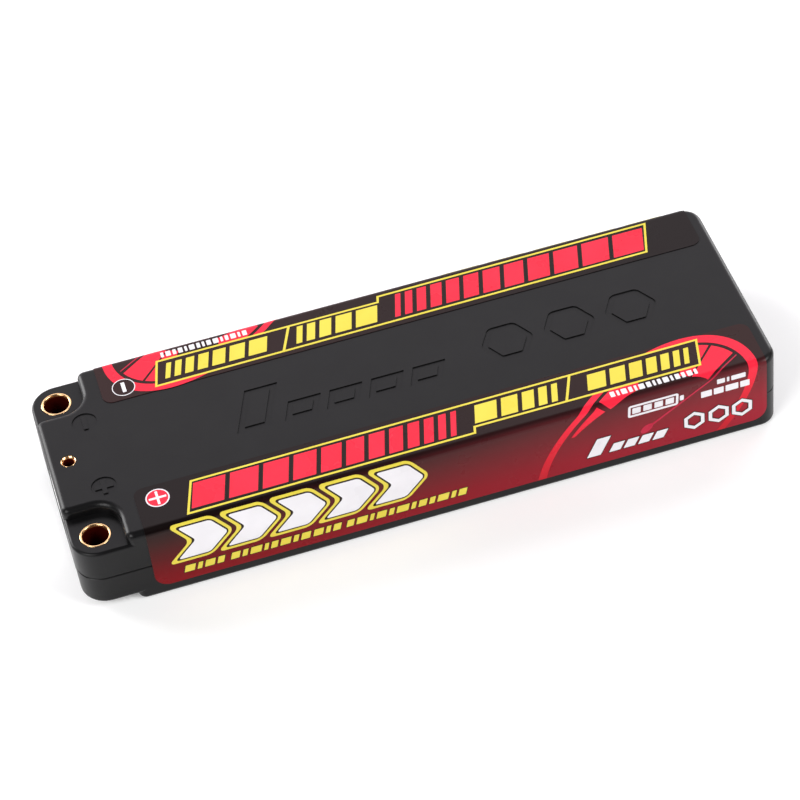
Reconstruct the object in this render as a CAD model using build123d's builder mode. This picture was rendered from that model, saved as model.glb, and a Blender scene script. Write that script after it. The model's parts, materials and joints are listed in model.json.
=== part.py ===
from build123d import *
import os

# Hard-case two-cell lithium battery pack for a model car. Millimetres.
# Origin: bottom centre of the case. +X runs along the case to its plain end, so the
# terminals are at -X; the positive side faces -Y; +Z is up.

# ---- driving dimensions: case ----
LENGTH = 139.5
WIDTH = 46.5
HEIGHT = 18.0
SEAM_Z = 8.6                # height of the joint between the two shells
WALL = 1.6                  # side and end walls
SKIN = 1.4                  # roof and floor
TERMINAL_CORNER_R = 5.2     # plan corners at the terminal end
FAR_CORNER_R = 3.6          # plan corners at the plain end
TOP_EDGE_R = 1.25
BOTTOM_EDGE_R = 0.9
SEAM_CHAMFER = 0.2          # on each shell, so the joint shows as a fine V groove
CUT_OVER = 1.0              # how far a cutter runs past what it cuts
TONGUE = 0.75               # thickness of the lower shell's tongue
TONGUE_HEIGHT = 1.5
TONGUE_GAP = 0.05

# ---- terminal shelves, one at each terminal corner ----
SHELF_DEPTH = 2.4           # below the top face
SHELF_LENGTH = 10.2
SHELF_WIDTH = 10.4
SHELF_CORNER_R = 4.6        # inside corner of the shelf wall, round the socket
SHELF_FLARE_R = 1.5         # where the shelf wall runs out at the case's faces
SHELF_EDGE_R = 0.6
UNDER_DEPTH = 1.8           # the same outline, recessed into the underside
SHELF_Z = HEIGHT - SHELF_DEPTH

# ---- sockets ----
SOCKET_X = -64.8
SOCKET_Y = 18.2
SOCKET_R = 3.0
SOCKET_BORE_R = 2.5
SOCKET_BORE_DEPTH = 9.5
SOCKET_PROUD = 0.1
SPIGOT_R = 1.6
SPIGOT_BELOW = 0.4          # how far the spigot comes through the terminal board
BALANCE_X = -65.8
BALANCE_R = 1.5
BALANCE_BORE_R = 1.0
BALANCE_BORE_DEPTH = 6.2
BALANCE_BOTTOM_Z = 10.6
MOUTH_CHAMFER = 0.3
MOUTH_RIM = 0.1             # flat rim left round the balance socket's mouth
SEAT_GAP = 0.02             # radial gap between a socket and its seat

# ---- interior levels and bays ----
BAY_X = -58.1               # the cell bay starts here, the terminal bay ends here
TERMINAL_ROOF_Z = 13.4
TERMINAL_FLOOR_Z = UNDER_DEPTH + SKIN
BOARD_Z = 3.85
BOARD_T = 1.0
BOARD_TOP_Z = BOARD_Z + BOARD_T
REST_XS = (-66.0, -61.0)    # square rests under the board
REST_YS = (-12.0, 12.0)
REST_SIZE = 2.0
REST_ROOT = 0.2             # how far a rest is sunk into the floor

# ---- cells and packing ----
CELL_X0 = -53.5
CELL_X1 = 65.9
CELL_HALF_WIDTH = 20.4
CELL_T = 6.7
CELL_EDGE_R = 1.8
SEAM_FOLD_T = 0.4           # folded side seam of the pouch
TERRACE_LENGTH = 4.0        # sealed lip the tabs come out of
TERRACE_T = 0.5
TERRACE_ROOT = 1.0          # how far the lip reaches into the pouch
BOTTOM_PAD_T = 0.6
MIDDLE_PAD_T = 0.3
LOWER_CELL_Z = SKIN + BOTTOM_PAD_T
UPPER_CELL_Z = LOWER_CELL_Z + CELL_T + MIDDLE_PAD_T
TOP_PAD_Z = UPPER_CELL_Z + CELL_T
PAD_INSET = 3.0
LOWER_TAB_Z = LOWER_CELL_Z + CELL_T / 2
UPPER_TAB_Z = UPPER_CELL_Z + CELL_T / 2

# ---- tabs and links ----
TAB_Y = 10.0
TAB_WIDTH = 8.0
TAB_T = 0.3
TAB_X0 = -62.0
LINK_T = 0.35
LINK_X = -60.0              # face of the series link's web nearest the cells
LINK_TIP = 0.2              # the link's pads stop this far short of the tab ends
BUS_ARM_X0 = -64.4          # arm of a bus strip, from the tab to the fork
BUS_ARM_X1 = -60.4
BUS_PAD_X0 = -62.0
FORK_R = 3.6                # bus strip's fork round a socket
FORK_BACK = 1.0             # how far the fork reaches past the socket's axis
SOLDER_H = 0.5
SOLDER_SPREAD = 0.4
WIRE_R = 0.6
WIRE_Z = 8.5
WIRE_BEND_R = 1.4

# ---- insulator sheet ----
SHEET_X = -57.9
SHEET_T = 0.3
SHEET_HALF_WIDTH = 20.6
SLOT_GAP = 0.2

# ---- labels ----
LABEL_T = 0.12
LABEL_X0 = -56.0
LABEL_X1 = 67.2
LABEL_BOTTOM_Z = 2.5
LABEL_TOP_Y = 12.1          # edge of the label on the case's top
LABEL_LENGTH = LABEL_X1 - LABEL_X0
LABEL_MID_X = (LABEL_X0 + LABEL_X1) / 2
LABEL_CORNER_R = 3.0
LABEL_TOP_CORNER_R = 2.0
END_LABEL_HALF_WIDTH = 8.1
END_LABEL_Z0 = 3.4
END_LABEL_Z1 = 16.4
END_RECESS = 0.25
END_LABEL_MARGIN = 0.25
END_CORNER_R = 1.0

# ---- engraved marks on the top ----
ENGRAVE = 0.22
MARK_X = -60.7              # round recesses by the sockets, with raised signs
MARK_Y = 8.9
MARK_R = 2.5
SIGN_LENGTH = 3.6
SIGN_WIDTH = 0.9
FRAME_STROKE = 1.25
FRAME_LEAN = 0.38           # sideways lean for each millimetre of height
FRAME_WIDTH = 6.6
FRAME_FOOT_Y = -4.9
TALL_FRAME_X = -33.5
TALL_FRAME_HEAD_Y = 5.8
LOW_FRAME_XS = (-24.0, -15.6, -7.2, 1.2)
LOW_FRAME_HEAD_Y = -0.1
HEX_XS = (22.4, 35.1, 47.8)
HEX_R = 5.4
HEX_CORNER_R = 1.6

END_X = -LENGTH / 2
SIDE_Y = WIDTH / 2
LIP_INSET = WALL - TONGUE


def full_outline(inset):
    """Plan outline of the case, drawn in by inset."""
    with BuildSketch() as outline:
        Rectangle(LENGTH - 2 * inset, WIDTH - 2 * inset)
        fillet(outline.vertices().group_by(Axis.X)[0], TERMINAL_CORNER_R - inset)
        fillet(outline.vertices().group_by(Axis.X)[-1], FAR_CORNER_R - inset)
    return outline.sketch


def stepped_outline():
    """Plan outline of the raised part, with both terminal corners cut away."""
    wall_x = END_X + SHELF_LENGTH
    wall_y = SIDE_Y - SHELF_WIDTH
    with BuildSketch() as outline:
        Rectangle(LENGTH, WIDTH)
        with Locations((END_X, SIDE_Y), (END_X, -SIDE_Y)):
            Rectangle(2 * SHELF_LENGTH, 2 * SHELF_WIDTH, mode=Mode.SUBTRACT)
        far = outline.vertices().group_by(Axis.X)[-1]
        fillet(far, FAR_CORNER_R)
        inner = outline.vertices().filter_by(
            lambda v: abs(v.X - wall_x) < 0.01 and abs(abs(v.Y) - wall_y) < 0.01)
        fillet(inner, SHELF_CORNER_R)
        mouths = outline.vertices().filter_by(
            lambda v: abs(v.X - END_X) < 0.01 or abs(v.X - wall_x) < 0.01 and abs(v.Y) > SIDE_Y - 0.01)
        fillet(mouths, SHELF_FLARE_R)
    return outline.sketch


def slab(outline, bottom, top):
    """A flat-sided slab of the given outline between two heights."""
    with BuildPart() as block:
        with BuildSketch(Plane.XY.offset(bottom)):
            add(outline)
        extrude(amount=top - bottom)
    return block.part


def box(x0, x1, y0, y1, z0, z1):
    """A box between two corners."""
    with BuildPart() as block:
        with BuildSketch(Plane.XY.offset(z0)):
            with Locations(((x0 + x1) / 2, (y0 + y1) / 2)):
                Rectangle(x1 - x0, y1 - y0)
        extrude(amount=z1 - z0)
    return block.part


def rounded_slab(outline, bottom, top, top_r=0.0, bottom_r=0.0, top_chamfer=0.0, bottom_chamfer=0.0):
    """A slab with its top or bottom rim rounded or chamfered."""
    with BuildPart() as block:
        add(slab(outline, bottom, top))
        top_rim = block.faces().sort_by(Axis.Z)[-1].edges()
        bottom_rim = block.faces().sort_by(Axis.Z)[0].edges()
        if top_r:
            fillet(top_rim, top_r)
        if bottom_r:
            fillet(bottom_rim, bottom_r)
        if top_chamfer:
            chamfer(top_rim, top_chamfer)
        if bottom_chamfer:
            chamfer(bottom_rim, bottom_chamfer)
    return block.part


def bay(outline, bottom, top):
    """The cell bay's share of a slab."""
    with BuildPart() as share:
        add(slab(outline, bottom, top))
        split(bisect_by=Plane.YZ.offset(BAY_X), keep=Keep.TOP)
    return share.part


def cavity(floor_z, roof_z, terminal_floor_z, terminal_roof_z):
    """The hollow of one shell: the cell bay and the terminal bay."""
    inner = full_outline(WALL)
    with BuildPart() as hollow:
        add(slab(inner, terminal_floor_z, terminal_roof_z))
        add(bay(inner, floor_z, roof_z))
    return hollow.part


def ring_ridge(outer_inset, inner_inset, bottom, top):
    """An upright rim that follows the case outline."""
    with BuildPart() as rim:
        add(slab(full_outline(outer_inset), bottom, top))
        add(slab(full_outline(inner_inset), bottom, top), mode=Mode.SUBTRACT)
    return rim.part


def end_recess():
    """The shallow pocket for the end label."""
    mid_z = (END_LABEL_Z0 + END_LABEL_Z1) / 2
    with BuildPart() as pocket:
        with BuildSketch(Plane.YZ.offset(END_X)):
            with Locations((0, mid_z)):
                RectangleRounded(2 * END_LABEL_HALF_WIDTH, END_LABEL_Z1 - END_LABEL_Z0, END_CORNER_R)
        extrude(amount=END_RECESS)
    return pocket.part


def leaning_frame(foot_x, head_y):
    """A slanted four-sided frame standing on the common foot line."""
    shift = FRAME_LEAN * (head_y - FRAME_FOOT_Y)
    with BuildSketch() as frame:
        with BuildLine():
            Polyline((foot_x, FRAME_FOOT_Y), (foot_x + FRAME_WIDTH, FRAME_FOOT_Y),
                     (foot_x + FRAME_WIDTH + shift, head_y), (foot_x + shift, head_y), close=True)
        make_face()
        offset(amount=-FRAME_STROKE, mode=Mode.SUBTRACT)
    return frame.sketch


def hexagon_frame(x):
    """A six-sided frame with soft corners."""
    with BuildSketch() as frame:
        with Locations((x, 0)):
            RegularPolygon(HEX_R, 6)
        fillet(frame.vertices(), HEX_CORNER_R)
        offset(amount=-FRAME_STROKE, mode=Mode.SUBTRACT)
    return frame.sketch


def engraved_marks():
    """Recesses in the top: polarity signs by the sockets, then plain frames along the middle."""
    with BuildPart() as marks:
        with BuildSketch(Plane.XY.offset(HEIGHT - ENGRAVE)):
            with Locations((MARK_X, -MARK_Y), (MARK_X, MARK_Y)):
                Circle(MARK_R)
                Rectangle(SIGN_WIDTH, SIGN_LENGTH, mode=Mode.SUBTRACT)
            with Locations((MARK_X, -MARK_Y)):
                Rectangle(SIGN_LENGTH, SIGN_WIDTH, mode=Mode.SUBTRACT)
            add(leaning_frame(TALL_FRAME_X, TALL_FRAME_HEAD_Y))
            for foot_x in LOW_FRAME_XS:
                add(leaning_frame(foot_x, LOW_FRAME_HEAD_Y))
            for x in HEX_XS:
                add(hexagon_frame(x))
        extrude(amount=2 * ENGRAVE)
    return marks.part


os.makedirs("parts", exist_ok=True)

# ---- upper shell ----
with BuildPart() as upper_case:
    add(rounded_slab(full_outline(0), SEAM_Z, SHELF_Z, top_r=SHELF_EDGE_R, bottom_chamfer=SEAM_CHAMFER))
    add(rounded_slab(stepped_outline(), SHELF_Z - SHELF_EDGE_R, HEIGHT, top_r=TOP_EDGE_R))
    add(cavity(SEAM_Z - CUT_OVER, HEIGHT - SKIN, SEAM_Z - CUT_OVER, TERMINAL_ROOF_Z), mode=Mode.SUBTRACT)
    add(slab(full_outline(LIP_INSET - TONGUE_GAP), SEAM_Z - CUT_OVER, SEAM_Z + TONGUE_HEIGHT + TONGUE_GAP),
        mode=Mode.SUBTRACT)
    add(end_recess(), mode=Mode.SUBTRACT)
    add(engraved_marks(), mode=Mode.SUBTRACT)
    with Locations((SOCKET_X, SOCKET_Y, HEIGHT), (SOCKET_X, -SOCKET_Y, HEIGHT)):
        Hole(SOCKET_R + SEAT_GAP)
    with Locations((BALANCE_X, 0, HEIGHT)):
        Hole(BALANCE_R + SEAT_GAP)

# ---- lower shell, with its tongue and four rests for the terminal board ----
with BuildPart() as lower_case:
    add(rounded_slab(full_outline(0), UNDER_DEPTH, SEAM_Z, bottom_r=BOTTOM_EDGE_R, top_chamfer=SEAM_CHAMFER))
    add(rounded_slab(stepped_outline(), 0, UNDER_DEPTH + BOTTOM_EDGE_R, bottom_r=BOTTOM_EDGE_R))
    add(cavity(SKIN, SEAM_Z + CUT_OVER, TERMINAL_FLOOR_Z, SEAM_Z + CUT_OVER), mode=Mode.SUBTRACT)
    add(ring_ridge(LIP_INSET, WALL, SEAM_Z - SEAM_CHAMFER, SEAM_Z + TONGUE_HEIGHT))
    add(end_recess(), mode=Mode.SUBTRACT)
    for rest_x in REST_XS:
        for rest_y in REST_YS:
            add(box(rest_x - REST_SIZE / 2, rest_x + REST_SIZE / 2, rest_y - REST_SIZE / 2, rest_y + REST_SIZE / 2,
                    TERMINAL_FLOOR_Z - REST_ROOT, BOARD_Z))


def power_socket(y):
    """Turned socket with a blind bore and a spigot for the board."""
    top = SHELF_Z + SOCKET_PROUD
    with BuildPart() as socket:
        with BuildSketch(Plane.XZ.offset(-y)):
            with BuildLine():
                Polyline((0, BOARD_Z - SPIGOT_BELOW), (SPIGOT_R, BOARD_Z - SPIGOT_BELOW),
                         (SPIGOT_R, BOARD_TOP_Z), (SOCKET_R, BOARD_TOP_Z), (SOCKET_R, top - MOUTH_CHAMFER / 3),
                         (SOCKET_R - MOUTH_CHAMFER / 3, top), (SOCKET_BORE_R + MOUTH_CHAMFER, top),
                         (SOCKET_BORE_R, top - MOUTH_CHAMFER), (SOCKET_BORE_R, top - SOCKET_BORE_DEPTH),
                         (0, top - SOCKET_BORE_DEPTH), close=True)
            make_face()
        revolve(axis=Axis((0, y, 0), (0, 0, 1)))
    return socket.part.moved(Location((SOCKET_X, 0, 0)))


def solder_ring(x, y, inner_r, z, height, spread):
    """A fillet of solder round a pin; a negative height hangs below z."""
    with BuildPart() as ring:
        with BuildSketch(Plane.XZ.offset(-y)):
            with BuildLine():
                Polyline((inner_r, z), (inner_r + spread, z), (inner_r, z + height), close=True)
            make_face()
        revolve(axis=Axis((0, y, 0), (0, 0, 1)))
    return ring.part.moved(Location((x, 0, 0)))


with BuildPart() as positive_socket:
    add(power_socket(-SOCKET_Y))

with BuildPart() as negative_socket:
    add(power_socket(SOCKET_Y))

# ---- balance socket: a thin tube with a wide countersunk mouth ----
with BuildPart() as balance_socket:
    with BuildSketch(Plane.XZ):
        with BuildLine():
            Polyline((0, BALANCE_BOTTOM_Z), (BALANCE_R, BALANCE_BOTTOM_Z), (BALANCE_R, HEIGHT),
                     (BALANCE_R - MOUTH_RIM, HEIGHT), (BALANCE_BORE_R, HEIGHT - 2 * MOUTH_CHAMFER),
                     (BALANCE_BORE_R, HEIGHT - BALANCE_BORE_DEPTH), (0, HEIGHT - BALANCE_BORE_DEPTH),
                     close=True)
        make_face()
    revolve(axis=Axis.Z)
    balance_socket.part = balance_socket.part.moved(Location((BALANCE_X, 0, 0)))


def shell_of(thickness):
    """The case's plain outer form, grown by a film's thickness; the underside stays level."""
    return rounded_slab(full_outline(-thickness), 0, HEIGHT + thickness, top_r=TOP_EDGE_R + thickness)


def label_top_area(side):
    """Where the film lies on the top: square at the fold, round-cornered at its inner edge."""
    deep = 2 * LABEL_TOP_CORNER_R
    with BuildPart() as area:
        with BuildSketch(Plane.XY.offset(HEIGHT - deep)):
            with Locations((LABEL_MID_X, side * (LABEL_TOP_Y + SIDE_Y + deep) / 2)):
                Rectangle(LABEL_LENGTH, SIDE_Y + deep - LABEL_TOP_Y)
        extrude(amount=2 * deep)
        fillet(area.edges().filter_by(Axis.Z).sort_by(lambda e: abs(e.center().Y))[:2], LABEL_TOP_CORNER_R)
    return area.part


def label_side_area(side):
    """Where the film lies on the side: square at the fold, round-cornered at its foot."""
    fold_z = HEIGHT - TOP_EDGE_R
    with BuildPart() as area:
        with BuildSketch(Plane.XZ.offset(-side * SIDE_Y)):
            with Locations((LABEL_MID_X, (LABEL_BOTTOM_Z + fold_z) / 2)):
                Rectangle(LABEL_LENGTH, fold_z - LABEL_BOTTOM_Z)
        extrude(amount=2 * LABEL_CORNER_R, both=True)
        fillet(area.edges().filter_by(Axis.Y).group_by(Axis.Z)[0], LABEL_CORNER_R)
    return area.part


def wrap_label(side):
    """A thin film bent over one long top edge; side is -1 for the front, 1 for the back."""
    with BuildPart() as area:
        add(label_top_area(side))
        add(label_side_area(side))
    with BuildPart() as film:
        add(shell_of(LABEL_T))
        add(shell_of(0), mode=Mode.SUBTRACT)
        add(area.part, mode=Mode.INTERSECT)
    return film.part


with BuildPart() as front_label:
    add(wrap_label(-1))

with BuildPart() as back_label:
    add(wrap_label(1))

with BuildPart() as end_label:
    with BuildSketch(Plane.YZ.offset(END_X + END_RECESS - LABEL_T)):
        with Locations((0, (END_LABEL_Z0 + END_LABEL_Z1) / 2)):
            RectangleRounded(2 * (END_LABEL_HALF_WIDTH - END_LABEL_MARGIN),
                             END_LABEL_Z1 - END_LABEL_Z0 - 2 * END_LABEL_MARGIN, END_CORNER_R)
    extrude(amount=LABEL_T)


def pouch_cell(bottom):
    """Foil pouch with rounded rims, folded side seams and the sealed lip the tabs leave."""
    middle = bottom + CELL_T / 2
    with BuildPart() as cell:
        add(box(CELL_X0, CELL_X1, -CELL_HALF_WIDTH, CELL_HALF_WIDTH, bottom, bottom + CELL_T))
        fillet(cell.edges().filter_by(Axis.Z), CELL_EDGE_R)
        fillet(cell.faces().filter_by(Axis.Z).edges(), CELL_EDGE_R / 2)
        add(box(CELL_X0 + CELL_T, CELL_X1 - CELL_T, -CELL_HALF_WIDTH - SEAM_FOLD_T,
                CELL_HALF_WIDTH + SEAM_FOLD_T, middle - CELL_T / 4, middle + CELL_T / 4))
        add(box(CELL_X0 - TERRACE_LENGTH, CELL_X0 + TERRACE_ROOT,
                -CELL_HALF_WIDTH + TERRACE_ROOT, CELL_HALF_WIDTH - TERRACE_ROOT,
                middle - TERRACE_T / 2, middle + TERRACE_T / 2))
    return cell.part


with BuildPart() as lower_cell:
    add(pouch_cell(LOWER_CELL_Z))

with BuildPart() as upper_cell:
    add(pouch_cell(UPPER_CELL_Z))


def tab(y, z):
    """A flat tab from the cell's lip, through the insulator, over the terminal bay."""
    return box(TAB_X0, CELL_X0 - TERRACE_LENGTH, y - TAB_WIDTH / 2, y + TAB_WIDTH / 2, z - TAB_T / 2, z + TAB_T / 2)


with BuildPart() as lower_positive_tab:
    add(tab(-TAB_Y, LOWER_TAB_Z))

with BuildPart() as lower_negative_tab:
    add(tab(TAB_Y, LOWER_TAB_Z))

with BuildPart() as upper_positive_tab:
    add(tab(-TAB_Y, UPPER_TAB_Z))

with BuildPart() as upper_negative_tab:
    add(tab(TAB_Y, UPPER_TAB_Z))

# ---- terminal board ----
with BuildPart() as terminal_board:
    add(slab(full_outline(WALL + TONGUE_GAP), BOARD_Z, BOARD_TOP_Z))
    split(bisect_by=Plane.YZ.offset(LINK_X), keep=Keep.BOTTOM)
    with Locations((SOCKET_X, SOCKET_Y, BOARD_TOP_Z), (SOCKET_X, -SOCKET_Y, BOARD_TOP_Z)):
        Hole(SPIGOT_R + TONGUE_GAP)


def fork_room(bottom, top):
    """The space beside a socket that its bus strip and solder may fill."""
    with BuildPart() as room:
        add(slab(full_outline(WALL + TONGUE_GAP), bottom, top))
        split(bisect_by=Plane.YZ.offset(SOCKET_X - FORK_BACK), keep=Keep.TOP)
    return room.part


def bus_strip(side, z):
    """A strip from one tab to a fork round the socket on the same side."""
    with BuildPart() as strip:
        with BuildSketch(Plane.XY.offset(z)):
            with Locations((SOCKET_X, side * SOCKET_Y)):
                Circle(FORK_R)
            with Locations(((BUS_ARM_X0 + BUS_ARM_X1) / 2, side * (TAB_Y + SOCKET_Y) / 2)):
                Rectangle(BUS_ARM_X1 - BUS_ARM_X0, SOCKET_Y - TAB_Y)
            with Locations(((BUS_PAD_X0 + LINK_X) / 2, side * TAB_Y)):
                Rectangle(LINK_X - BUS_PAD_X0, TAB_WIDTH)
            with Locations((SOCKET_X, side * SOCKET_Y)):
                Circle(SOCKET_R + SEAT_GAP, mode=Mode.SUBTRACT)
        extrude(amount=LINK_T)
        add(fork_room(z, z + LINK_T), mode=Mode.INTERSECT)
    return strip.part


with BuildPart() as positive_bus:
    add(bus_strip(-1, UPPER_TAB_Z + TAB_T / 2))

with BuildPart() as negative_bus:
    add(bus_strip(1, LOWER_TAB_Z - TAB_T / 2 - LINK_T))

# ---- series link: from under the upper negative tab, slanting down to the lower positive tab ----
with BuildPart() as series_link:
    pad_top = UPPER_TAB_Z - TAB_T / 2
    pad_low = LOWER_TAB_Z + TAB_T / 2
    near = TAB_Y - TAB_WIDTH / 2
    away = TAB_Y + TAB_WIDTH / 2
    with BuildSketch(Plane.YZ.offset(LINK_X - LINK_T)):
        with BuildLine():
            Polyline((near, pad_top), (away, pad_top), (-near, pad_low), (-away, pad_low), close=True)
        make_face()
    extrude(amount=LINK_T)
    add(box(TAB_X0 + LINK_TIP, LINK_X, near, away, pad_top - LINK_T, pad_top))
    add(box(TAB_X0 + LINK_TIP, LINK_X, -away, -near, pad_low, pad_low + LINK_T))

# ---- balance wire: from the link's middle, up into the balance socket's foot ----
with BuildPart() as balance_wire:
    with BuildLine() as wire_path:
        FilletPolyline((LINK_X - LINK_T, 0, WIRE_Z), (BALANCE_X, 0, WIRE_Z), (BALANCE_X, 0, BALANCE_BOTTOM_Z),
                       radius=WIRE_BEND_R)
    with BuildSketch(Plane(origin=(LINK_X - LINK_T, 0, WIRE_Z), z_dir=(-1, 0, 0))):
        Circle(WIRE_R)
    sweep()

with BuildPart() as socket_solder:
    for side in (-1, 1):
        add(solder_ring(SOCKET_X, side * SOCKET_Y, SPIGOT_R, BOARD_Z, -SPIGOT_BELOW, 2 * SOLDER_H))

with BuildPart() as bus_solder:
    add(solder_ring(SOCKET_X, -SOCKET_Y, SOCKET_R, UPPER_TAB_Z + TAB_T / 2 + LINK_T, SOLDER_H, SOLDER_SPREAD))
    add(solder_ring(SOCKET_X, SOCKET_Y, SOCKET_R, LOWER_TAB_Z - TAB_T / 2, SOLDER_H, SOLDER_SPREAD))
    add(fork_room(BOARD_TOP_Z, TERMINAL_ROOF_Z), mode=Mode.INTERSECT)

with BuildPart() as balance_solder:
    add(solder_ring(BALANCE_X, 0, WIRE_R, BALANCE_BOTTOM_Z, -SOLDER_H, SOLDER_H))

# ---- packing ----
with BuildPart() as bottom_pad:
    add(box(CELL_X0 + PAD_INSET, CELL_X1 - PAD_INSET, -CELL_HALF_WIDTH + PAD_INSET, CELL_HALF_WIDTH - PAD_INSET,
            SKIN, LOWER_CELL_Z))

with BuildPart() as middle_pad:
    add(box(CELL_X0 + PAD_INSET, CELL_X1 - PAD_INSET, -CELL_HALF_WIDTH + PAD_INSET, CELL_HALF_WIDTH - PAD_INSET,
            LOWER_CELL_Z + CELL_T, UPPER_CELL_Z))

with BuildPart() as top_pad:
    add(box(CELL_X0 + PAD_INSET, CELL_X1 - PAD_INSET, -CELL_HALF_WIDTH + PAD_INSET, CELL_HALF_WIDTH - PAD_INSET,
            TOP_PAD_Z, HEIGHT - SKIN))

with BuildPart() as end_pad:
    add(box(CELL_X1, LENGTH / 2 - WALL, -CELL_HALF_WIDTH + PAD_INSET, CELL_HALF_WIDTH - PAD_INSET,
            LOWER_CELL_Z, TOP_PAD_Z))

with BuildPart() as side_pads:
    for side in (-1, 1):
        rim = side * (CELL_HALF_WIDTH + SEAM_FOLD_T)
        wall = side * (SIDE_Y - WALL)
        add(box(CELL_X0 + CELL_T, CELL_X1 - CELL_T, min(rim, wall), max(rim, wall), LOWER_CELL_Z, TOP_PAD_Z))

with BuildPart() as tab_insulator:
    add(box(SHEET_X, SHEET_X + SHEET_T, -SHEET_HALF_WIDTH, SHEET_HALF_WIDTH, TERMINAL_FLOOR_Z, TOP_PAD_Z))
    for tab_z in (LOWER_TAB_Z, UPPER_TAB_Z):
        for tab_y in (-TAB_Y, TAB_Y):
            add(box(SHEET_X - CUT_OVER, SHEET_X + CUT_OVER, tab_y - TAB_WIDTH / 2 - SLOT_GAP, tab_y + TAB_WIDTH / 2 + SLOT_GAP,
                    tab_z - TAB_T / 2 - SLOT_GAP, tab_z + TAB_T / 2 + SLOT_GAP), mode=Mode.SUBTRACT)

pieces = {
    "upper_case": upper_case, "lower_case": lower_case,
    "positive_socket": positive_socket, "negative_socket": negative_socket, "balance_socket": balance_socket,
    "front_label": front_label, "back_label": back_label, "end_label": end_label,
    "lower_cell": lower_cell, "upper_cell": upper_cell,
    "lower_positive_tab": lower_positive_tab, "lower_negative_tab": lower_negative_tab,
    "upper_positive_tab": upper_positive_tab, "upper_negative_tab": upper_negative_tab,
    "terminal_board": terminal_board, "positive_bus": positive_bus, "negative_bus": negative_bus,
    "series_link": series_link, "balance_wire": balance_wire,
    "socket_solder": socket_solder, "bus_solder": bus_solder, "balance_solder": balance_solder,
    "bottom_pad": bottom_pad, "middle_pad": middle_pad, "top_pad": top_pad,
    "end_pad": end_pad, "side_pads": side_pads, "tab_insulator": tab_insulator,
}
for name, piece in pieces.items():
    piece.part.label = name
    export_step(piece.part, f"parts/{name}.step")
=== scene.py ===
import json
import math

import bmesh
import bpy
from mathutils import Matrix, Vector


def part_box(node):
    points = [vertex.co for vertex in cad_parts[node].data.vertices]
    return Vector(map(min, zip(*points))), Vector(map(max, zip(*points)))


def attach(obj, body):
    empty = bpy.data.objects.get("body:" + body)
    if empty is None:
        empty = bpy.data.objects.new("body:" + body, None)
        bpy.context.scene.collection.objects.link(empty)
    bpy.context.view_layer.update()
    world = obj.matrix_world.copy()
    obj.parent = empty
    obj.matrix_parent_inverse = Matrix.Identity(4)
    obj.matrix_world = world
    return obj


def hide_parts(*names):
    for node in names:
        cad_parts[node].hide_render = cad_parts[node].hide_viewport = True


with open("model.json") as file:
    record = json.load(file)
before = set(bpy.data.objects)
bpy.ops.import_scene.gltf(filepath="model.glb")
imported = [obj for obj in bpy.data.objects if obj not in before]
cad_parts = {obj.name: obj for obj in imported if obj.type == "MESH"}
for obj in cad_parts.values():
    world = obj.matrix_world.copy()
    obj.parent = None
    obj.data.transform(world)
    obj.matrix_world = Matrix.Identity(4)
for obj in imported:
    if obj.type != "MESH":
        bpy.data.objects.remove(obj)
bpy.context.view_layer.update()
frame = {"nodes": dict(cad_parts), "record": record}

MM = 0.001

# ---- where the film lies, from the frame ----
film_low, film_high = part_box("front_label")
FILM_TOP = film_high.z / MM
FILM_SIDE = -film_low.y / MM
FILM_MID_X = (film_low.x + film_high.x) / 2 / MM
FOLD_R = 1.37                          # outer radius where the film turns down over the case edge
FOLD_Y = FILM_SIDE - FOLD_R            # the fold starts here on the top
FOLD_Z = FILM_TOP - FOLD_R             # and ends here on the side
FOLD_ARC = FOLD_R * math.pi / 2
FOLD_STEPS = 10
FILM_EDGE_V = -(FOLD_ARC + FOLD_Z - film_low.z / MM)   # lower edge of the film, unrolled

# ---- the joint between the two shells ----
JOINT_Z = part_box("upper_case")[0].z
JOINT_SHADE = 0.00006                  # half width of the painted shade line in it

# ---- printed layers ----
INK_BASE = -0.01                       # print starts just inside the film
INK_STEP = 0.02                        # and each layer stands this much higher


# ======================================================================= materials
NOISE_SPAN = (0.3, 0.7)                # most of a noise pattern lies between these


def new_material(name):
    """A material with an empty node tree, and its main shader."""
    material = bpy.data.materials.new(name)
    material.use_nodes = True
    shader = material.node_tree.nodes["Principled BSDF"]
    return material, material.node_tree, shader


def add_node(tree, kind, **values):
    """A node with some of its sockets or settings filled in."""
    node = tree.nodes.new(kind)
    for key, value in values.items():
        if key in node.inputs.keys():
            node.inputs[key].default_value = value
        else:
            setattr(node, key, value)
    return node


def noise(tree, scale, detail):
    """Noise in the piece's own coordinates."""
    place = add_node(tree, "ShaderNodeTexCoord")
    pattern = add_node(tree, "ShaderNodeTexNoise", Scale=scale, Detail=detail)
    tree.links.new(place.outputs["Object"], pattern.inputs["Vector"])
    return pattern.outputs["Fac"]


def along_axis(tree, letter):
    """How far a point lies along one of the piece's own axes, in metres."""
    place = add_node(tree, "ShaderNodeTexCoord")
    axes = add_node(tree, "ShaderNodeSeparateXYZ")
    tree.links.new(place.outputs["Object"], axes.inputs["Vector"])
    return axes.outputs[letter]


def ramp(tree, value, stops):
    """A colour ramp from (position, colour) stops."""
    node = add_node(tree, "ShaderNodeValToRGB")
    while len(node.color_ramp.elements) < len(stops):
        node.color_ramp.elements.new(0.5)
    for element, (position, colour) in zip(node.color_ramp.elements, stops):
        element.position = position
        element.color = (*colour, 1.0)
    tree.links.new(value, node.inputs["Fac"])
    return node.outputs["Color"]


def colour_socket(sockets, name):
    """The colour socket of a mix node, which has one of each kind under the same name."""
    return [socket for socket in sockets if socket.name == name and socket.type == "RGBA"][0]


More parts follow.
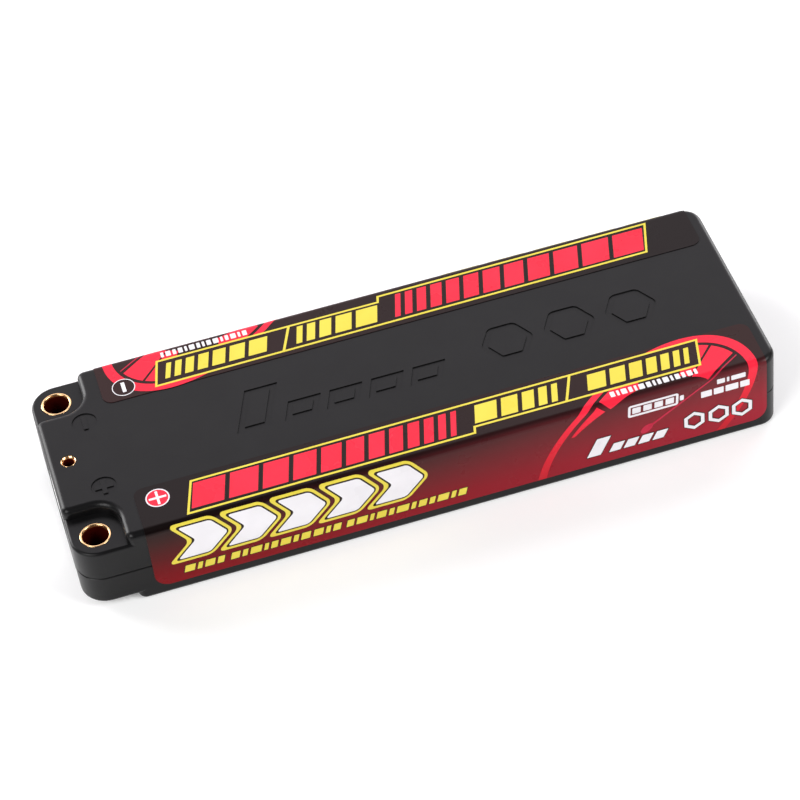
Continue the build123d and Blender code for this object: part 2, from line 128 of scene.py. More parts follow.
def remap(tree, value, low, high, out_low, out_high):
    """A number carried from one range to another."""
    node = add_node(tree, "ShaderNodeMapRange")
    limits = {"From Min": low, "From Max": high, "To Min": out_low, "To Max": out_high}
    for socket, number in limits.items():
        node.inputs[socket].default_value = number
    tree.links.new(value, node.inputs["Value"])
    return node.outputs["Result"]


def bump(tree, shader, height, strength, distance):
    """Fine relief from a height value."""
    node = add_node(tree, "ShaderNodeBump", Strength=strength, Distance=distance)
    tree.links.new(height, node.inputs["Height"])
    tree.links.new(node.outputs["Normal"], shader.inputs["Normal"])


def speckled(name, dark, light, rough, metallic=0.0, scale=900.0, relief=0.1, depth=0.00003, specular=0.5):
    """A finish whose colour, gloss and surface vary a little from place to place."""
    material, tree, shader = new_material(name)
    shader.inputs["Metallic"].default_value = metallic
    shader.inputs["Specular IOR Level"].default_value = specular
    blotch = noise(tree, scale / 12, 3.0)
    tree.links.new(ramp(tree, blotch, [(0.35, dark), (0.68, light)]), shader.inputs["Base Color"])
    tree.links.new(remap(tree, blotch, *NOISE_SPAN, *rough), shader.inputs["Roughness"])
    bump(tree, shader, noise(tree, scale, 5.0), relief, depth)
    return material


CASE_BLACKS = ((0.35, (0.0048, 0.0046, 0.0050)), (0.68, (0.0068, 0.0066, 0.0070)))
CASE_ROUGHNESS = (0.29, 0.35)
CASE_GLOSS = 0.2
JOINT_SHADE_ROUGHNESS = 1.0


def case_plastic():
    """Black moulded plastic with a fine spark-eroded grain, with painted shade darkening the joint between
    the shells.
    """
    material, tree, shader = new_material("case_plastic")
    shader.inputs["Specular IOR Level"].default_value = CASE_GLOSS
    # Painted shade: a thin line at the joint between the shells is mixed to black and made fully rough.
    z = along_axis(tree, "Z")
    below = remap(tree, z, JOINT_Z - 2 * JOINT_SHADE, JOINT_Z - JOINT_SHADE, 0.0, 1.0)
    above = remap(tree, z, JOINT_Z + JOINT_SHADE, JOINT_Z + 2 * JOINT_SHADE, 1.0, 0.0)
    joint_shade = add_node(tree, "ShaderNodeMath", operation="MULTIPLY")
    tree.links.new(below, joint_shade.inputs[0])
    tree.links.new(above, joint_shade.inputs[1])
    blotch = noise(tree, 140.0, 3.0)
    shaded = add_node(tree, "ShaderNodeMix", data_type="RGBA")
    tree.links.new(joint_shade.outputs["Value"], shaded.inputs["Factor"])
    tree.links.new(ramp(tree, blotch, CASE_BLACKS), colour_socket(shaded.inputs, "A"))
    colour_socket(shaded.inputs, "B").default_value = (0.0, 0.0, 0.0, 1.0)
    tree.links.new(colour_socket(shaded.outputs, "Result"), shader.inputs["Base Color"])
    dulled = add_node(tree, "ShaderNodeMix", data_type="FLOAT", B=JOINT_SHADE_ROUGHNESS)
    tree.links.new(joint_shade.outputs["Value"], dulled.inputs["Factor"])
    tree.links.new(remap(tree, blotch, *NOISE_SPAN, *CASE_ROUGHNESS), dulled.inputs["A"])
    tree.links.new(dulled.outputs["Result"], shader.inputs["Roughness"])
    bump(tree, shader, noise(tree, 2600.0, 5.0), 0.2, 0.00002)
    return material


# Stops from the foot to the top of the film, a printed run from red to near black; at the terminal end the
# stops across the fold dip darker than the top, a painted dark reflection along the fold.
FILM_TERMINAL_END = (
    (0.0, (0.200, 0.0015, 0.005)), (0.18, (0.165, 0.002, 0.005)), (0.45, (0.092, 0.006, 0.007)),
    (0.75, (0.040, 0.010, 0.009)), (0.91, (0.022, 0.010, 0.009)), (0.955, (0.003, 0.001, 0.001)),
    (0.997, (0.005, 0.003, 0.003)), (1.0, (0.012, 0.008, 0.008)))
FILM_PLAIN_END = (
    (0.0, (0.330, 0.013, 0.028)), (0.18, (0.320, 0.014, 0.028)), (0.45, (0.270, 0.020, 0.030)),
    (0.75, (0.185, 0.022, 0.028)), (0.91, (0.128, 0.021, 0.025)), (0.965, (0.110, 0.018, 0.022)),
    (0.988, (0.045, 0.009, 0.011)), (0.997, (0.032, 0.008, 0.009)), (1.0, (0.031, 0.014, 0.0135)))
FILM_REDDENING = 1.35                  # above 1, the film reddens late on the way to the plain end
FILM_ROUGHNESS = (0.26, 0.34)
FILM_GLOSS = 0.11


def printed_film(name, side):
    """Glossy film, near black on the top and running to red at the foot, redder at the plain end; at the
    terminal end a painted dark reflection darkens it across the fold.
    """
    material, tree, shader = new_material(name)
    shader.inputs["Specular IOR Level"].default_value = FILM_GLOSS
    height = remap(tree, along_axis(tree, "Z"), film_low.z, film_high.z, 0.0, 1.0)
    plain_end, terminal_end = (film_high.x, film_low.x) if side < 0 else (film_low.x, film_high.x)
    along = add_node(tree, "ShaderNodeMath", operation="POWER")
    tree.links.new(remap(tree, along_axis(tree, "X"), terminal_end, plain_end, 0.0, 1.0), along.inputs[0])
    along.inputs[1].default_value = FILM_REDDENING
    shade = add_node(tree, "ShaderNodeMix", data_type="RGBA")
    tree.links.new(along.outputs["Value"], shade.inputs["Factor"])
    tree.links.new(ramp(tree, height, FILM_TERMINAL_END), colour_socket(shade.inputs, "A"))
    tree.links.new(ramp(tree, height, FILM_PLAIN_END), colour_socket(shade.inputs, "B"))
    tree.links.new(colour_socket(shade.outputs, "Result"), shader.inputs["Base Color"])
    mottle = noise(tree, 160.0, 3.0)
    tree.links.new(remap(tree, mottle, *NOISE_SPAN, *FILM_ROUGHNESS), shader.inputs["Roughness"])
    bump(tree, shader, noise(tree, 420.0, 2.0), 0.05, 0.00002)
    return material


INK_ROUGHNESS = (0.24, 0.34)
INK_GRAIN = 1500.0
INK_RELIEF = 0.04
INK_GRAIN_DEPTH = 0.00001
INK_GLOSS = 0.16
DIAL_REDS = ((0.0, (0.50, 0.009, 0.020)), (0.5, (0.68, 0.015, 0.032)), (0.9, (0.86, 0.021, 0.050)))
DIAL_GLOSS = 0.14


def ink(name, dark, light):
    """Screen-printed colour under the same glossy lacquer as the film."""
    return speckled(name, dark, light, INK_ROUGHNESS, scale=INK_GRAIN, relief=INK_RELIEF,
                    depth=INK_GRAIN_DEPTH, specular=INK_GLOSS)


def dial_ink():
    """The dial's red, duller toward the foot of the film."""
    material, tree, shader = new_material("dial_ink")
    shader.inputs["Specular IOR Level"].default_value = DIAL_GLOSS
    height = remap(tree, along_axis(tree, "Z"), film_low.z, film_high.z, 0.0, 1.0)
    tree.links.new(ramp(tree, height, DIAL_REDS), shader.inputs["Base Color"])
    mottle = noise(tree, 125.0, 3.0)
    tree.links.new(remap(tree, mottle, *NOISE_SPAN, *INK_ROUGHNESS), shader.inputs["Roughness"])
    bump(tree, shader, noise(tree, INK_GRAIN, 5.0), INK_RELIEF, INK_GRAIN_DEPTH)
    return material


GILT_GLOSS = 0.05
BORE_SHADE_DEPTH = 0.0009                 # how far down a socket the bright gilt gives way to the painted shade of its bore
SHADE_EDGE_WANDER = 0.04                     # how much the edge of the painted bore shade wanders
# The two dark reds are painted shade down the bore; the two golds are the gilt at the mouth.
GILT_COLOURS = ((0.0, (0.034, 0.0016, 0.0003)), (0.48, (0.055, 0.004, 0.001)),
                (0.64, (0.80, 0.40, 0.16)), (0.95, (0.92, 0.60, 0.31)))


def gilt(name, mouth_z):
    """Gilt brass, bright at the mouth of a socket, with painted shade turning it a dull dark red down its
    bore.
    """
    material, tree, shader = new_material(name)
    shader.inputs["Specular IOR Level"].default_value = GILT_GLOSS
    # Painted shade: below the mouth the colour runs to dark red, standing for the shade down the bore.
    depth = remap(tree, along_axis(tree, "Z"), mouth_z - BORE_SHADE_DEPTH, mouth_z, 0.0, 1.0)
    shade_edge = add_node(tree, "ShaderNodeMix", data_type="FLOAT", Factor=SHADE_EDGE_WANDER)
    tree.links.new(depth, shade_edge.inputs["A"])
    tree.links.new(noise(tree, 900.0, 3.0), shade_edge.inputs["B"])
    shine = shade_edge.outputs["Result"]
    tree.links.new(ramp(tree, shine, GILT_COLOURS), shader.inputs["Base Color"])
    tree.links.new(remap(tree, shine, 0.5, 0.64, 0.0, 1.0), shader.inputs["Metallic"])
    tree.links.new(remap(tree, shine, *NOISE_SPAN, 0.5, 0.24), shader.inputs["Roughness"])
    bump(tree, shader, noise(tree, 1800.0, 4.0), 0.04, 0.00001)
    return material


FRONT_FILM = printed_film("front_film", -1)
BACK_FILM = printed_film("back_film", 1)
SMALL_GILT = gilt("small_gilt_brass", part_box("balance_socket")[1].z)
INK_ORDER = ("yellow", "dark", "white", "red", "dial", "crimson", "film")
INKS = {
    "yellow": ink("yellow_ink", (0.71, 0.585, 0.062), (0.76, 0.635, 0.080)),
    "dark": ink("dark_ink", (0.018, 0.010, 0.006), (0.024, 0.013, 0.008)),
    "white": ink("white_ink", (0.76, 0.74, 0.77), (0.82, 0.80, 0.83)),
    "red": ink("red_ink", (0.84, 0.018, 0.045), (0.90, 0.024, 0.056)),
    "dial": dial_ink(),
    "crimson": ink("crimson_ink", (0.46, 0.014, 0.045), (0.52, 0.018, 0.055)),
}
NODE_FINISHES = {
    "case_plastic": case_plastic(),
    "gilt_brass": gilt("gilt_brass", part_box("positive_socket")[1].z),
    "printed_film": FRONT_FILM,
    "white_label": speckled("white_label", (0.78, 0.78, 0.78), (0.86, 0.86, 0.86), (0.4, 0.5),
                            scale=1200.0),
    "pouch_foil": speckled("pouch_foil", (0.50, 0.51, 0.53), (0.62, 0.63, 0.65), (0.28, 0.42),
                           metallic=0.9, scale=700.0, relief=0.3, depth=0.0001),
    "tab_aluminium": speckled("tab_aluminium", (0.70, 0.70, 0.72), (0.82, 0.82, 0.84), (0.3, 0.42),
                              metallic=1.0),
    "tab_nickel": speckled("tab_nickel", (0.52, 0.50, 0.46), (0.64, 0.61, 0.57), (0.3, 0.4),
                           metallic=1.0),
    "board_laminate": speckled("board_laminate", (0.015, 0.10, 0.04), (0.03, 0.15, 0.06), (0.35, 0.5)),
    "bus_copper": speckled("bus_copper", (0.72, 0.32, 0.18), (0.86, 0.45, 0.28), (0.25, 0.4),
                           metallic=1.0),
    "solder": speckled("solder", (0.52, 0.53, 0.55), (0.70, 0.71, 0.73), (0.2, 0.35), metallic=1.0),
    "wire_silicone": speckled("wire_silicone", (0.72, 0.72, 0.70), (0.82, 0.82, 0.80), (0.45, 0.6)),
    "foam": speckled("foam", (0.020, 0.020, 0.022), (0.04, 0.04, 0.042), (0.85, 0.95), scale=2400.0,
                     relief=0.7, depth=0.0002),
    "insulator_sheet": speckled("insulator_sheet", (0.55, 0.50, 0.36), (0.66, 0.60, 0.45), (0.5, 0.65)),
}


def finish_frame_nodes():
    """Gives each piece of the frame the finish of its slot."""
    for entry in frame["record"]["subparts"]:
        mesh = frame["nodes"][entry["node"]].data
        mesh.materials.clear()
        mesh.materials.append(NODE_FINISHES[entry["material_slot"]])
    frame["nodes"]["back_label"].data.materials[0] = BACK_FILM
    frame["nodes"]["balance_socket"].data.materials[0] = SMALL_GILT


# ======================================================================= turned sockets, in mm
TURNED_STEPS = 96
SHARP_ANGLE = math.radians(50)
POWER_R = 3.0
POWER_PROFILE = ((0.0, 12.25), (1.6, 12.25), (1.6, 10.85), (POWER_R, 10.85), (POWER_R, 0.12), (2.96, 0.03),
                 (2.88, 0.0), (2.74, 0.0), (2.62, 0.04), (2.53, 0.16), (2.5, 0.35), (2.5, 9.5), (0.0, 9.5))
BALANCE_PROFILE = ((0.0, 7.4), (1.5, 7.4), (1.5, 0.06), (1.44, 0.0), (1.34, 0.04), (1.05, 0.5),
                   (1.0, 0.64), (1.0, 6.2), (0.0, 6.2))


def turned_socket(name, node, profile, finish):
    """A smooth round socket in place of a frame node; its profile is radius and depth below the mouth."""
    low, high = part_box(node)
    shape = bmesh.new()
    verts = [shape.verts.new((radius, 0, -depth)) for radius, depth in profile]
    edges = [shape.edges.new(pair) for pair in zip(verts, verts[1:])]
    bmesh.ops.spin(shape, geom=verts + edges, cent=(0, 0, 0), axis=(0, 0, 1), angle=math.tau,
                   steps=TURNED_STEPS, use_merge=True, dvec=(0, 0, 0))
    bmesh.ops.remove_doubles(shape, verts=shape.verts[:], dist=1e-4)
    bmesh.ops.recalc_face_normals(shape, faces=shape.faces[:])
    for face in shape.faces:
        face.smooth = True
    for edge in shape.edges:
        edge.smooth = edge.calc_face_angle(0.0) < SHARP_ANGLE
    mouth = Vector(((low.x + high.x) / 2, (low.y + high.y) / 2, high.z))
    shape.transform(Matrix.Translation(mouth) @ Matrix.Scale(MM, 4))
    mesh = bpy.data.meshes.new(name)
    shape.to_mesh(mesh)
    shape.free()
    mesh.materials.append(finish)
    piece = bpy.data.objects.new(name, mesh)
    bpy.context.scene.collection.objects.link(piece)
    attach(piece, "root")
    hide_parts(node)


# ======================================================================= flat shapes, in mm
CORNER_STEPS = 5
DISC_SIDES = 48
ARC_STEP = 4                           # degrees


def corner_face(corners, radius=0.0, colour="white"):
    """A flat face through a few corners, each rounded by radius."""
    shape = bmesh.new()
    verts = [shape.verts.new((u, v, 0.0)) for u, v in corners]
    shape.faces.new(verts)
    if radius:
        bmesh.ops.bevel(shape, geom=verts, affect="VERTICES", offset=radius, segments=CORNER_STEPS,
                        profile=0.5, material=-1)
    for face in shape.faces:
        face.material_index = INK_ORDER.index(colour)
    return shape


def block(width, height, radius):
    """A flat white rectangle about the origin."""
    u, v = width / 2, height / 2
    return corner_face(((-u, -v), (u, -v), (u, v), (-u, v)), radius)


def banded(shape, bands, heart):
    """Turns the rim of a one-faced shape into bands of ink round its heart, an ink or None for a hole."""
    shape.normal_update()
    face = shape.faces[:][0]
    for width, colour in bands:
        rim = bmesh.ops.inset_region(shape, faces=[face], thickness=width, use_even_offset=True,
                                     use_boundary=True)
        for band in rim["faces"]:
            band.material_index = INK_ORDER.index(colour)
    if heart is None:
        bmesh.ops.delete(shape, geom=[face], context="FACES")
    else:
        face.material_index = INK_ORDER.index(heart)
    return shape


def shrunk(corners, distance):
    """The corners of a polygon drawn in by a distance, or moved out where it is below zero."""
    moved = []
    for index, corner in enumerate(corners):
        before, here, after = (Vector(corners[(index + step) % len(corners)]) for step in (-1, 0, 1))
        into, out = (here - before).normalized(), (after - here).normalized()
        inward = Vector((-into.y - out.y, into.x + out.x)).normalized()
        moved.append(tuple(here + inward * distance / inward.dot(Vector((-into.y, into.x)))))
    return moved


def arc_band(inner, inner_end, outer, start, end):
    """Part of a flat ring, between two angles in degrees; its inner rim drifts from inner to inner_end."""
    shape = bmesh.new()
    first = Vector((math.cos(math.radians(start)), math.sin(math.radians(start)), 0.0))
    edge = shape.edges.new([shape.verts.new(first * inner), shape.verts.new(first * outer)])
    sweep = end - start
    bmesh.ops.spin(shape, geom=[edge, *edge.verts], cent=(0, 0, 0), axis=(0, 0, 1),
                   angle=math.radians(sweep), steps=max(3, int(abs(sweep) / ARC_STEP)),
                   use_merge=False, dvec=(0, 0, 0))
    if inner_end != inner:
        for vert in [v for v in shape.verts if v.co.length < (inner + outer) / 2]:
            turned_by = math.degrees(math.atan2(vert.co.y, vert.co.x)) - start
            vert.co *= 1 + (inner_end / inner - 1) * turned_by / sweep
    for face in shape.faces:
        face.material_index = INK_ORDER.index("dial")
    return shape


def hexagon_ring(radius, stroke, colour):
    """A six-sided ring about the origin."""
    shape = bmesh.new()
    bmesh.ops.create_circle(shape, cap_ends=True, segments=6, radius=radius)
    return banded(shape, [(stroke, colour)], None)


def disc(radius, colour):
    """A flat disc about the origin."""
    shape = bmesh.new()
    bmesh.ops.create_circle(shape, cap_ends=True, segments=DISC_SIDES, radius=radius)
    for face in shape.faces:
        face.material_index = INK_ORDER.index(colour)
    return shape


def stamp(sheet, shape, u=0.0, v=0.0, lean=0.0, stretch=1.0, level=0):
    """Thickens a flat shape into a layer of ink, leans it, and adds it to a sheet of print."""
    top = INK_STEP * (level + 1)
    raised = bmesh.ops.extrude_face_region(shape, geom=shape.faces[:])
    lifted = [item for item in raised["geom"] if isinstance(item, bmesh.types.BMVert)]
    bmesh.ops.translate(shape, verts=lifted, vec=(0, 0, top - INK_BASE))
    bmesh.ops.recalc_face_normals(shape, faces=shape.faces[:])
    leant = Matrix(((1, lean * stretch, 0, u), (0, stretch, 0, v), (0, 0, 1, INK_BASE), (0, 0, 0, 1)))
    shape.transform(leant)
    flat = bpy.data.meshes.new("flat_shape")
    shape.to_mesh(flat)
    shape.free()
    sheet.from_mesh(flat)
    bpy.data.meshes.remove(flat)


def on_film(u, v, height):
    """The point of the front film at u along it and v across it; v is 0 where the fold starts."""
    if v >= 0:
        return Vector((u, v - FOLD_Y, FILM_TOP + height))
    if v <= -FOLD_ARC:
        return Vector((u, -FILM_SIDE - height, FOLD_Z + FOLD_ARC + v))
    angle = -v / FOLD_R
    reach = FOLD_R + height
    return Vector((u, -FOLD_Y - reach * math.sin(angle), FOLD_Z + reach * math.cos(angle)))


def lay_print(name, sheet, turned=False):
    """Bends a flat sheet of print over the fold and makes it a piece; turned puts it on the back film."""
    for step in range(FOLD_STEPS + 1):
        place = (0, -FOLD_ARC * step / FOLD_STEPS, 0)
        bmesh.ops.bisect_plane(sheet, geom=sheet.verts[:] + sheet.edges[:] + sheet.faces[:],
                               plane_co=place, plane_no=(0, 1, 0), dist=1e-6)
    for vert in sheet.verts:
        vert.co = on_film(*vert.co)
    if turned:
        half_turn = Matrix.Translation((FILM_MID_X, 0, 0)) @ Matrix.Rotation(math.pi, 4, "Z")
        sheet.transform(half_turn @ Matrix.Translation((-FILM_MID_X, 0, 0)))
    sheet.transform(Matrix.Scale(MM, 4))
    mesh = bpy.data.meshes.new(name)
    sheet.to_mesh(mesh)
    sheet.free()
    film = BACK_FILM if turned else FRONT_FILM
    for colour in INK_ORDER:
        mesh.materials.append(INKS.get(colour, film))
    piece = bpy.data.objects.new(name, mesh)
    bpy.context.scene.collection.objects.link(piece)
    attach(piece, "root")


# ======================================================================= the print
DIAL_U, DIAL_V = 42.55, -10.3
DIAL_LEAN = 0.537
DIAL_STRETCH = 1.02
DIAL_RIM = (18.4, 18.4, 20.05, -22, 202)
DIAL_BLOCKS = ((16.5, 14.5, 17.2, 169.5, 148.3), (13.9, 12.0, 17.5, 145.3, 120.0),
               (11.0, 10.8, 17.8, 82.0, 68.0), (10.8, 11.7, 17.8, 65.9, 46.8))
NEEDLE_ANGLE = 43.2
NEEDLE = ((0.0, -0.3), (17.9, -0.14), (17.9, 0.14), (0.0, 0.3))
HUB_R = 1.1
HUB_LEVEL = 0.2                        # the hub stands a little over the needle
FOOT_GAP = 0.05                        # from the dial's cut to the edge of the film


def dial_print(name, turned):
    """A leaning rev dial: rim, growing scale blocks and a needle, cut off at the foot of the film."""
    sheet = bmesh.new()
    place = dict(u=DIAL_U, v=DIAL_V, lean=DIAL_LEAN, stretch=DIAL_STRETCH)
    stamp(sheet, arc_band(*DIAL_RIM), **place)
    for scale_block in DIAL_BLOCKS:
        stamp(sheet, arc_band(*scale_block), **place)
    needle = corner_face(NEEDLE, colour="crimson")
    turn = Matrix.Rotation(math.radians(NEEDLE_ANGLE), 3, "Z")
    bmesh.ops.rotate(needle, verts=needle.verts[:], cent=(0, 0, 0), matrix=turn)
    stamp(sheet, needle, **place)
    stamp(sheet, disc(HUB_R, "crimson"), level=HUB_LEVEL, **place)
    everything = sheet.verts[:] + sheet.edges[:] + sheet.faces[:]
    cut = bmesh.ops.bisect_plane(sheet, geom=everything, plane_co=(0, FILM_EDGE_V + FOOT_GAP, 0),
                                 plane_no=(0, -1, 0), clear_outer=True)
    rims = [item for item in cut["geom_cut"] if isinstance(item, bmesh.types.BMEdge)]
    bmesh.ops.holes_fill(sheet, edges=rims)
    lay_print(name, sheet, turned)


def leaning_block(sheet, left, right, v, height, lean, colour, level, rim=0.2):
    """A leaning block with a thin dark edge; left and right are taken at its middle."""
    shape = block(right - left + 2 * rim, height + 2 * rim, 0.25)
    banded(shape, [(rim, "dark")], colour)
    stamp(sheet, shape, (left + right) / 2, v, lean, level=level)


def leaning_row(sheet, start, gap, widths, **look):
    """A row of leaning blocks."""
    left = start
    for width in widths:
        leaning_block(sheet, left, left + width, **look)
        left += width + gap


def upright_row(sheet, start, gap, widths, v, height, radius, level):
    """A row of plain white blocks."""
    left = start
    for width in widths:
        stamp(sheet, block(width, height, radius), left + width / 2, v, level=level)
        left += width + gap


BAND_LEAN = 0.28
BAND_LINE = 0.45
BAND_OUTLINE = ((-47.5, 0.2), (9.3, 0.5), (9.7, 2.05), (55.1, 2.0), (56.8, 9.0), (-45.0, 8.5))
BAND_DIVIDER = ((27.7, 2.3), (28.25, 2.3), (30.9, 8.7), (30.35, 8.7))
# A row's start, gap and widths, then its middle, height and ink.
RED_STRIPES = (-45.4, 0.95, (6.3, 5.6, 5.0, 4.5, 4.0, 3.5, 3.1, 2.7, 2.3, 1.9, 1.5, 1.1)), (4.5, 6.2, "red")
YELLOW_STRIPES = (10.5, 0.9, (4.4, 3.3, 2.4, 1.7, 1.2)), (5.3, 4.6, "yellow")
SMALL_STRIPES = (33.2, 0.85, (3.7, 3.1, 2.6, 2.1, 1.7, 1.3, 1.0)), (5.4, 4.1, "yellow")


def band_print(name, turned):
    """The yellow-lined band along the top edge, filled with rows of narrowing stripes."""
    sheet = bmesh.new()
    band = banded(corner_face(BAND_OUTLINE), [(BAND_LINE, "yellow")], "film")
    bmesh.ops.triangulate(band, faces=[face for face in band.faces if len(face.verts) > 4])
    stamp(sheet, band, level=1)
    stamp(sheet, corner_face(BAND_DIVIDER, colour="yellow"), level=2)
    for row, (v, height, colour) in (RED_STRIPES, YELLOW_STRIPES, SMALL_STRIPES):
        leaning_row(sheet, *row, v=v, height=height, lean=BAND_LEAN, colour=colour, level=2)
    lay_print(name, sheet, turned)


CHEVRON_COUNT = 5
CHEVRON_U = -45.6                      # middle of the first one
CHEVRON_PITCH = 9.65
CHEVRON_V = -6.2
CHEVRON_LEAN = 0.12
CHEVRON_WIDTH = 10.0
CHEVRON_TIP = 3.5
CHEVRON_HEIGHT = 8.6
CHEVRON_LAYERS = ((0.85, 1.3, "yellow"), (0.25, 0.9, "dark"), (-0.08, 0.65, "white"))


def chevron(grow, radius, colour):
    """An arrowhead stripe that points to the plain end, grown all round."""
    half, tall, tip = CHEVRON_WIDTH / 2, CHEVRON_HEIGHT / 2, CHEVRON_TIP
    corners = ((-half, -tall), (half - tip, -tall), (half, 0), (half - tip, tall), (-half, tall),
               (tip - half, 0))
    return corner_face(shrunk(corners, -grow), radius, colour)


def chevron_print(name, turned):
    """A row of large white chevrons, each with a yellow contour."""
    sheet = bmesh.new()
    for index in range(CHEVRON_COUNT):
        for layer, (grow, radius, colour) in enumerate(CHEVRON_LAYERS):
            stamp(sheet, chevron(grow, radius, colour), CHEVRON_U + CHEVRON_PITCH * index, CHEVRON_V,
                  CHEVRON_LEAN, level=1 + layer)
    lay_print(name, sheet, turned)


DASH_GROUPS = ((-50.1, (2.0, 0.9, 1.9, 1.3)), (-41.0, (1.7, 1.0, 2.2, 0.8, 1.3, 2.0, 1.0, 1.8)),
               (-24.7, (1.9, 0.9, 1.5)),
               (-18.1, (1.4, 2.1, 0.8, 1.9, 1.0, 2.4, 0.9, 1.6, 1.1, 2.2, 0.9, 1.6)))
DASH_GAP = 0.55
DASH_LOOK = dict(v=-13.5, height=1.75, lean=BAND_LEAN, colour="yellow", level=1, rim=0.14)


def dash_print(name, turned):
    """A line of small yellow dashes under the chevrons."""
    sheet = bmesh.new()
    for start, widths in DASH_GROUPS:
        leaning_row(sheet, start, DASH_GAP, widths, **DASH_LOOK)
    lay_print(name, sheet, turned)


STROKES = (36.2, 0.42, (0.9, 0.5, 1.1, 0.7, 0.5, 1.1, 0.9, 0.5, 0.7, 1.1, 0.5, 0.9, 0.7, 1.0, 0.6))
STROKE_LOOK = dict(v=0.8, height=1.35, radius=0.12, level=3)
CHARGE_V = -4.5
CHARGE_LEAN = 0.06
CHARGE_LINE = 0.5
CHARGE_FRAME = (44.0, 10.2, 3.1, 0.5)  # middle, width, height and corner radius
CHARGE_NUB = (49.8, 0.8, 1.3, 0.2)
CHARGE_BARS = [(40.6 + 2.25 * index, 1.7, 1.5, 0.15) for index in range(4)]
UPPER_BARS = (57.0, 0.4, (1.6, 0.5, 2.9))
UPPER_BAR_LOOK = dict(v=-2.9, height=1.2, radius=0.15, level=1)
LOWER_BARS = (53.7, 0.4, (2.2, 2.0, 2.6, 1.9))
LOWER_BAR_LOOK = dict(v=-5.3, height=1.6, radius=0.15, level=1)
SLAB_LOOK = dict(lean=0.5, colour="white", level=2, rim=0.16)
TALL_SLAB = (31.3, 34.1)
LOW_SLABS = (35.2, 0.65, (2.3, 2.3, 2.3, 2.3))
HEXAGONS_U = (52.2, 57.2, 62.0)
HEXAGON_V = -11.7
HEXAGON_LAYERS = ((2.55, 1.05, "dark"), (2.38, 0.72, "white"))


def small_marks_print(name, turned):
    """Small white marks at the plain end: a row of strokes, a charge sign, bars, slabs and hexagons."""
    sheet = bmesh.new()
    upright_row(sheet, *STROKES, **STROKE_LOOK)
    u, width, height, radius = CHARGE_FRAME
    frame_shape = banded(block(width, height, radius), [(CHARGE_LINE, "white")], None)
    stamp(sheet, frame_shape, u, CHARGE_V, CHARGE_LEAN, level=1)
    for u, width, height, radius in (CHARGE_NUB, *CHARGE_BARS):
        stamp(sheet, block(width, height, radius), u, CHARGE_V, CHARGE_LEAN, level=1)
    upright_row(sheet, *UPPER_BARS, **UPPER_BAR_LOOK)
    upright_row(sheet, *LOWER_BARS, **LOWER_BAR_LOOK)
    leaning_block(sheet, *TALL_SLAB, v=-11.7, height=4.5, **SLAB_LOOK)
    leaning_row(sheet, *LOW_SLABS, v=-12.9, height=2.1, **SLAB_LOOK)
    for u in HEXAGONS_U:
        for layer, (radius, stroke, colour) in enumerate(HEXAGON_LAYERS):
            stamp(sheet, hexagon_ring(radius, stroke, colour), u, HEXAGON_V, level=2 + layer)
    lay_print(name, sheet, turned)


MARK_U, MARK_V = -51.75, 6.4
MARK_R = 2.3
PLUS_LINE = 0.25
PLUS_ARM = (0.5, 3.4)
MINUS_LINE = 0.17
MINUS_ARM = (0.75, 2.7)
MINUS_SHIFT = (-0.3, 0.3)              # its place isn't quite the plus sign's, mirrored
ARM_CORNER_R = 0.1


def plus_print():
    """A ringed plus sign near the positive socket."""
    sheet = bmesh.new()
    width, length = PLUS_ARM
    stamp(sheet, banded(disc(MARK_R, "white"), [(PLUS_LINE, "white")], "red"), MARK_U, MARK_V, level=1)
    stamp(sheet, block(width, length, ARM_CORNER_R), MARK_U, MARK_V, level=2)
    stamp(sheet, block(length, width, ARM_CORNER_R), MARK_U, MARK_V, level=2.2)
    lay_print("plus_print", sheet)


def minus_print():
    """A ringed minus sign near the negative socket, on the turned film."""
    sheet = bmesh.new()
    u, v = 2 * FILM_MID_X - MARK_U + MINUS_SHIFT[0], MARK_V + MINUS_SHIFT[1]
    stamp(sheet, banded(disc(MARK_R, "white"), [(MINUS_LINE, "white")], "film"), u, v, level=1)
    stamp(sheet, block(*MINUS_ARM, ARM_CORNER_R), u, v, level=2)
    lay_print("minus_print", sheet, turned=True)


# ======================================================================= stage
FLOOR_HALF = 4.0
FLOOR_GREYS = ((0.3, (0.86, 0.86, 0.86)), (0.7, (0.88, 0.88, 0.88)))
FLOOR_ROUGHNESS = 0.9
FLOOR_GLOW = 0.2                       # a light table, so that shadows stay pale
ROOM_GLOW = 0.08
WHITE = (1.0, 1.0, 1.0)
COOL_WHITE = (0.99, 0.95, 1.0)
# Each lamp's place, width and height, brightness across its face, and tint.
LAMPS = {
    "back_panel": ((0.10, 0.95, 0.60), (3.2, 1.2), 1.65, COOL_WHITE),
    "left_back_strip": ((-0.84, 0.82, 0.38), (0.55, 0.75), 8.5, WHITE),
    "right_back_strip": ((0.95, 0.85, 0.18), (0.5, 0.4), 6.5, WHITE),
    "left_key": ((-1.05, -0.70, 0.95), (0.8, 0.8), 7.5, WHITE),
    "right_key": ((1.05, -0.70, 0.95), (0.8, 0.8), 8.5, WHITE),
}


def floor_paint():
    """Pale matt paint with a faint glow."""
    material, tree, shader = new_material("floor_paint")
    tint = ramp(tree, noise(tree, 3.0, 2.0), FLOOR_GREYS)
    tree.links.new(tint, shader.inputs["Base Color"])
    tree.links.new(tint, shader.inputs["Emission Color"])
    shader.inputs["Emission Strength"].default_value = FLOOR_GLOW
    shader.inputs["Roughness"].default_value = FLOOR_ROUGHNESS
    return material


def floor():
    """A plain pale floor."""
    mesh = bpy.data.meshes.new("floor")
    flat = bmesh.new()
    bmesh.ops.create_grid(flat, x_segments=1, y_segments=1, size=FLOOR_HALF)
    flat.to_mesh(mesh)
    flat.free()
    mesh.materials.append(floor_paint())
    holder = bpy.data.objects.new("floor", mesh)
    bpy.context.scene.collection.objects.link(holder)


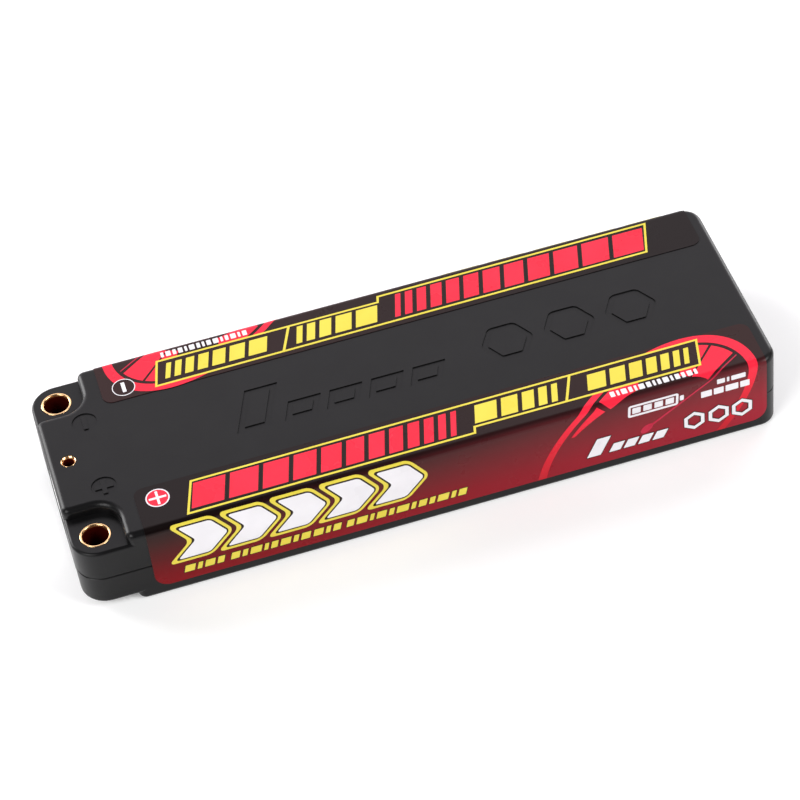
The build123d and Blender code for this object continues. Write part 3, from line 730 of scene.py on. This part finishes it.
def softbox(name, place, size, radiance, tint):
    """A soft rectangular lamp that faces the pack, as bright as radiance across its face."""
    lamp = bpy.data.lights.new(name, "AREA")
    lamp.shape = "RECTANGLE"
    lamp.size, lamp.size_y = size
    lamp.color = tint
    lamp.energy = radiance * math.pi * size[0] * size[1]
    holder = bpy.data.objects.new(name, lamp)
    holder.location = place
    holder.rotation_mode = "QUATERNION"
    holder.rotation_quaternion = (-Vector(place)).to_track_quat("-Z", "Y")
    bpy.context.scene.collection.objects.link(holder)


def studio():
    """The floor, a faint even glow and the lamps."""
    floor()
    world = bpy.data.worlds.new("studio")
    world.use_nodes = True
    world.node_tree.nodes["Background"].inputs["Color"].default_value = (*WHITE, 1.0)
    world.node_tree.nodes["Background"].inputs["Strength"].default_value = ROOM_GLOW
    bpy.context.scene.world = world
    for name, settings in LAMPS.items():
        softbox(name, *settings)
    bpy.context.scene.view_settings.view_transform = "Standard"


CAMERA_AZIMUTH = -11.07
CAMERA_ELEVATION = 45.74
CAMERA_ROLL = -7.38
CAMERA_DISTANCE = 0.58243
CAMERA_ASIDE = (-0.00114, 0.00687)
CAMERA_LENS = 132.16
CLIP_START = 0.01


def camera():
    """A long lens looking down at the pack from the front and a little from the terminal end."""
    azimuth, elevation, roll = map(math.radians, (CAMERA_AZIMUTH, CAMERA_ELEVATION, CAMERA_ROLL))
    back = Vector((math.sin(azimuth) * math.cos(elevation), -math.cos(azimuth) * math.cos(elevation),
                   math.sin(elevation)))
    level_right = (-back).cross(Vector((0, 0, 1))).normalized()
    level_up = level_right.cross(-back)
    right = level_right * math.cos(roll) + level_up * math.sin(roll)
    up = level_up * math.cos(roll) - level_right * math.sin(roll)
    data = bpy.data.cameras.new("camera")
    data.lens = CAMERA_LENS
    data.clip_start = CLIP_START
    holder = bpy.data.objects.new("camera", data)
    turn = Matrix((right, up, back)).transposed().to_4x4()
    place = back * CAMERA_DISTANCE + right * CAMERA_ASIDE[0] + up * CAMERA_ASIDE[1]
    holder.matrix_world = Matrix.Translation(place) @ turn
    bpy.context.scene.collection.objects.link(holder)
    bpy.context.scene.camera = holder


camera()
studio()
finish_frame_nodes()
turned_socket("turned_positive_socket", "positive_socket", POWER_PROFILE, NODE_FINISHES["gilt_brass"])
turned_socket("turned_negative_socket", "negative_socket", POWER_PROFILE, NODE_FINISHES["gilt_brass"])
turned_socket("turned_balance_socket", "balance_socket", BALANCE_PROFILE, SMALL_GILT)
for side, turned in (("front", False), ("back", True)):
    dial_print(side + "_dial_print", turned)
    band_print(side + "_band_print", turned)
    chevron_print(side + "_chevron_print", turned)
    dash_print(side + "_dash_print", turned)
    small_marks_print(side + "_small_marks_print", turned)
plus_print()
minus_print()
